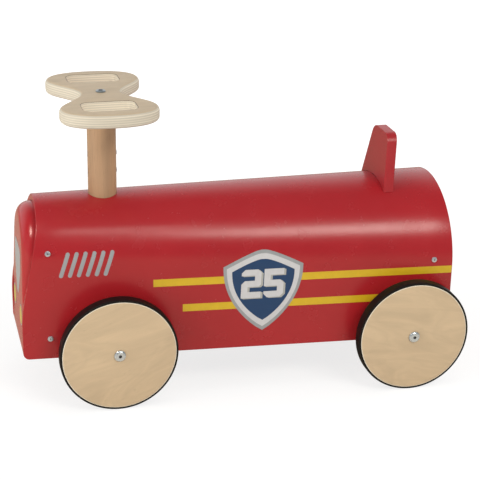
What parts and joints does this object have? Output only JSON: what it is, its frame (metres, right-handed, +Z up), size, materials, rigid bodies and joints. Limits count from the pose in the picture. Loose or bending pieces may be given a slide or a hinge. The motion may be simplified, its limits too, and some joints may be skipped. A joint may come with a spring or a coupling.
{
  "type": "wooden ride-on car",
  "caption": "Ride-on car for a small child: a bent plywood body with a leaning backrest on wooden wheels, steered by a plywood handle on a column over the front axle.",
  "frame": {"origin": "on the floor, in the middle of the car's length and width", "axes": "+X toward the rear of the car, so it drives toward -X; +Y toward its right side; +Z up"},
  "size_m": [0.5934, 0.2772, 0.4038],
  "materials": {
    "red_lacquer": "plywood in satin red lacquer",
    "bare_plywood": "bare sawn plywood",
    "birch_plywood": "birch plywood in clear satin lacquer",
    "beech": "beech in clear satin lacquer",
    "black_rubber": "matt black rubber band",
    "steel": "drawn steel",
    "zinc_plated_steel": "bright zinc plate",
    "white_nylon": "moulded nylon"
  },
  "bodies": {
    "chassis": {"body_shell": "red_lacquer", "front_bulkhead": "bare_plywood", "front_panel": "red_lacquer", "rear_panel": "red_lacquer", "steering_guide_beam": "bare_plywood", "rear_axle_beam": "bare_plywood", "column_bearing_block": "bare_plywood", "backrest": "red_lacquer", "backrest_cleat": "bare_plywood", "backrest_screw_left": "zinc_plated_steel", "backrest_screw_right": "zinc_plated_steel", "nose_screw_upper": "zinc_plated_steel", "nose_screw_lower": "zinc_plated_steel", "front_screw_upper_left": "zinc_plated_steel", "front_screw_upper_right": "zinc_plated_steel", "front_screw_lower_left": "zinc_plated_steel", "front_screw_lower_right": "zinc_plated_steel", "rear_screw_upper_left": "zinc_plated_steel", "rear_screw_upper_right": "zinc_plated_steel", "rear_screw_lower_left": "zinc_plated_steel", "rear_screw_lower_right": "zinc_plated_steel", "guide_beam_screw_left": "zinc_plated_steel", "guide_beam_screw_right": "zinc_plated_steel", "axle_beam_screw_left": "zinc_plated_steel", "axle_beam_screw_right": "zinc_plated_steel", "rear_axle": "steel", "rear_spacer_left": "white_nylon", "rear_spacer_right": "white_nylon", "rear_hub_bolt_left": "zinc_plated_steel", "rear_hub_bolt_right": "zinc_plated_steel"},
    "steering": {"steering_handle": "birch_plywood", "handle_bolt": "zinc_plated_steel", "column_insert": "zinc_plated_steel", "column_screw_upper": "zinc_plated_steel", "column_screw_lower": "zinc_plated_steel", "rod_pin": "steel", "rod_collar": "steel", "thrust_washer": "white_nylon", "steering_column": "beech", "steering_rod": "steel", "front_axle_block": "beech", "front_axle": "steel", "front_spacer_left": "white_nylon", "front_spacer_right": "white_nylon", "front_hub_bolt_left": "zinc_plated_steel", "front_hub_bolt_right": "zinc_plated_steel"},
    "front_wheel_left": {"front_wheel_left_disc": "birch_plywood", "front_wheel_left_tyre": "black_rubber", "front_wheel_left_bush": "white_nylon"},
    "front_wheel_right": {"front_wheel_right_disc": "birch_plywood", "front_wheel_right_tyre": "black_rubber", "front_wheel_right_bush": "white_nylon"},
    "rear_wheel_left": {"rear_wheel_left_disc": "birch_plywood", "rear_wheel_left_tyre": "black_rubber", "rear_wheel_left_bush": "white_nylon"},
    "rear_wheel_right": {"rear_wheel_right_disc": "birch_plywood", "rear_wheel_right_tyre": "black_rubber", "rear_wheel_right_bush": "white_nylon"}
  },
  "joints": [
    {"name": "steering_turn", "type": "hinge", "parent": "chassis", "child": "steering", "pos_m": [-0.17898, 0, 0.07786], "axis": [0, 0, 1], "range_deg": [-6.5, 6.5]},
    {"name": "front_wheel_left_roll", "type": "hinge", "parent": "steering", "child": "front_wheel_left", "pos_m": [-0.17668, -0.10172, 0.07786], "axis": [0, -1, 0], "continuous": true},
    {"name": "front_wheel_right_roll", "type": "hinge", "parent": "steering", "child": "front_wheel_right", "pos_m": [-0.17668, 0.10172, 0.07786], "axis": [0, -1, 0], "continuous": true},
    {"name": "rear_wheel_left_roll", "type": "hinge", "parent": "chassis", "child": "rear_wheel_left", "pos_m": [0.21882, -0.12743, 0.07786], "axis": [0, -1, 0], "continuous": true},
    {"name": "rear_wheel_right_roll", "type": "hinge", "parent": "chassis", "child": "rear_wheel_right", "pos_m": [0.21882, 0.12743, 0.07786], "axis": [0, -1, 0], "continuous": true}
  ]
}
